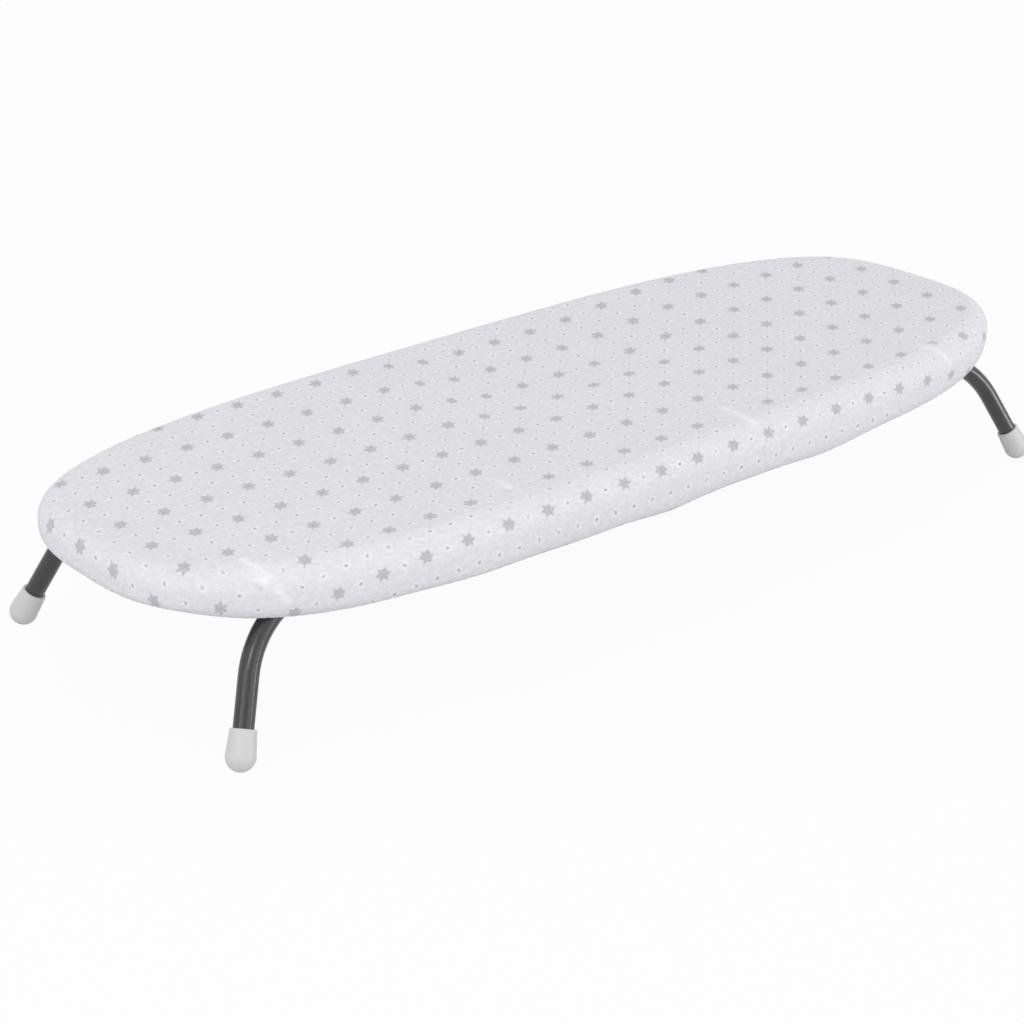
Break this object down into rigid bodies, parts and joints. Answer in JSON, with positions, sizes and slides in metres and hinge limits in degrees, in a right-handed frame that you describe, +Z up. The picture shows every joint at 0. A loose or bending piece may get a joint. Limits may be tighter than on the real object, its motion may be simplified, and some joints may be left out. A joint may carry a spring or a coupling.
{
  "type": "tabletop ironing board",
  "caption": "Low ironing board for use on a table: padded rounded board under a fitted cloth cover, on bent steel tube leg frames that fold flat under it.",
  "frame": {"origin": "on the table, under the middle of the board", "axes": "+X along the board's length, -Y towards its front long side, +Z up"},
  "size_m": [0.76, 0.285, 0.111],
  "materials": {
    "cover_cloth": "printed cotton, matt",
    "elastic": "braided",
    "felt": "needled felt",
    "panel_steel": "grey coated sheet",
    "strap_steel": "zinc plated",
    "leg_paint": "semi-gloss dark grey",
    "cap_plastic": "satin moulded"
  },
  "bodies": {
    "board": {"cover": "cover_cloth", "hem_elastic": "elastic", "underlay_pad": "felt", "top_panel": "panel_steel", "cross_rail_left": "panel_steel", "cross_rail_right": "panel_steel", "hinge_saddle_front_left": "strap_steel", "hinge_saddle_front_right": "strap_steel", "hinge_saddle_rear_left": "strap_steel", "hinge_saddle_rear_right": "strap_steel", "rivet_front_left_outer": "strap_steel", "rivet_front_left_inner": "strap_steel", "rivet_front_right_outer": "strap_steel", "rivet_front_right_inner": "strap_steel", "rivet_rear_left_outer": "strap_steel", "rivet_rear_left_inner": "strap_steel", "rivet_rear_right_outer": "strap_steel", "rivet_rear_right_inner": "strap_steel"},
    "front_legs": {"leg_frame_front": "leg_paint", "leg_stop_front_left": "leg_paint", "leg_stop_front_right": "leg_paint", "foot_cap_front_left": "cap_plastic", "foot_cap_front_right": "cap_plastic"},
    "rear_legs": {"leg_frame_rear": "leg_paint", "leg_stop_rear_left": "leg_paint", "leg_stop_rear_right": "leg_paint", "foot_cap_rear_left": "cap_plastic", "foot_cap_rear_right": "cap_plastic"}
  },
  "joints": [
    {"name": "front_leg_fold", "type": "hinge", "parent": "board", "child": "front_legs", "pos_m": [0, -0.0945, 0.08435], "axis": [1, 0, 0], "range_deg": [0, 110]},
    {"name": "rear_leg_fold", "type": "hinge", "parent": "board", "child": "rear_legs", "pos_m": [0, 0.0945, 0.08435], "axis": [-1, 0, 0], "range_deg": [0, 110]}
  ]
}
